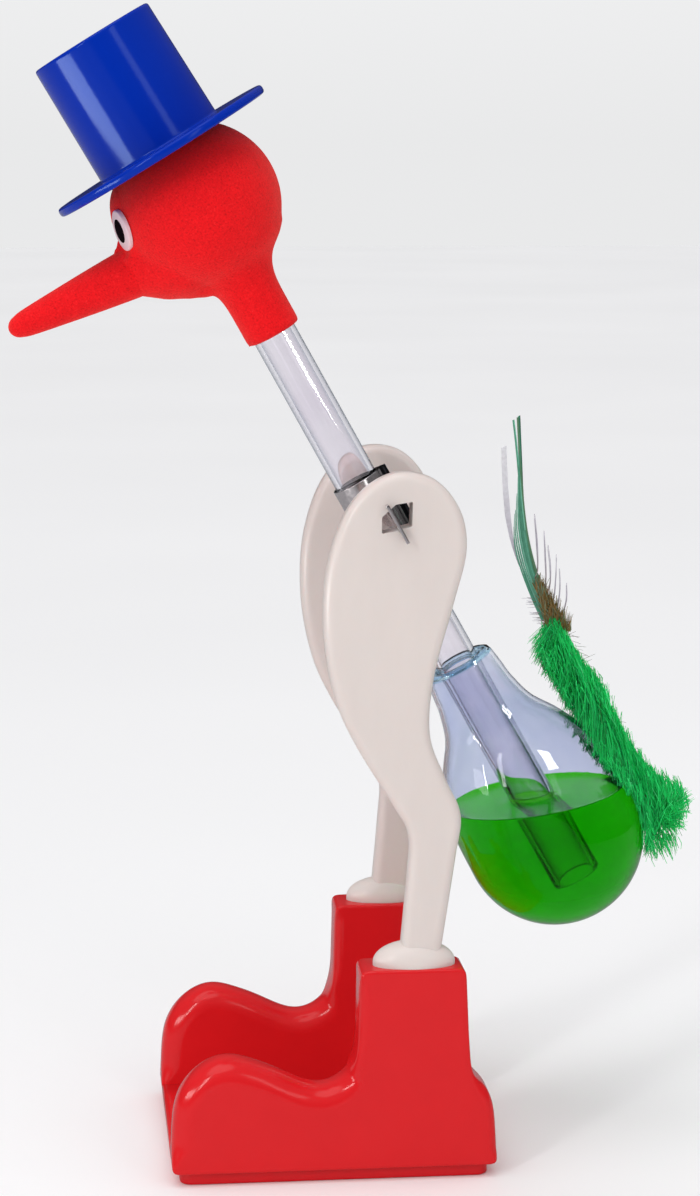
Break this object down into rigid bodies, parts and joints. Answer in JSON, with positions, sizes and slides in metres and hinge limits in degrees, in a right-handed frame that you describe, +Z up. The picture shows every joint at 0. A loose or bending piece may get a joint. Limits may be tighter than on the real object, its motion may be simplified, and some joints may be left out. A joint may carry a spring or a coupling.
{
  "type": "drinking bird",
  "caption": "Desk toy bird of blown glass that rocks on a steel clip between two plastic legs in boots, with a felt head, beak, top hat and tail feather.",
  "frame": {"origin": "middle of the underside of the sole plate, on the table", "axes": "+X to the bird's left, -Y to its front (the beak), +Z up"},
  "size_m": [0.0492, 0.1091, 0.1808],
  "materials": {
    "red_plastic": "gloss",
    "red_sole": "satin",
    "ivory_plastic": "satin",
    "clip_steel": "satin",
    "clear_glass": "polished",
    "green_fluid": "polished",
    "red_felt": "matte",
    "beak_core": "matte",
    "eye_white": "gloss",
    "pupil_black": "gloss",
    "blue_plastic": "gloss",
    "quill": "matte",
    "green_vane": "matte",
    "green_down": "matte",
    "glue": "satin"
  },
  "bodies": {
    "stand": {"base_shell": "red_plastic", "sole_plate": "red_sole", "leg_left": "ivory_plastic", "leg_right": "ivory_plastic"},
    "clip": {"pivot_clip": "clip_steel"},
    "bird": {"neck_tube": "clear_glass", "tail_bulb": "clear_glass", "head_bulb": "clear_glass", "working_fluid": "green_fluid", "fluid_column": "green_fluid", "head_cover": "red_felt", "beak_core": "beak_core", "beak_cover": "red_felt", "eye_left": "eye_white", "eye_right": "eye_white", "pupil_left": "pupil_black", "pupil_right": "pupil_black", "top_hat": "blue_plastic", "tail_quill": "quill", "tail_vane": "green_vane", "tail_down": "green_down", "tail_glue": "glue"}
  },
  "joints": [
    {"name": "rock", "type": "hinge", "parent": "stand", "child": "clip", "pos_m": [0, 0.0099, 0.102], "axis": [1, 0, 0], "range_deg": [-40, 55]},
    {"name": "clip_slide", "type": "slide", "parent": "clip", "child": "bird", "axis": [0, -0.4848, 0.8746], "range_m": [-0.0015, 0.0015]}
  ]
}
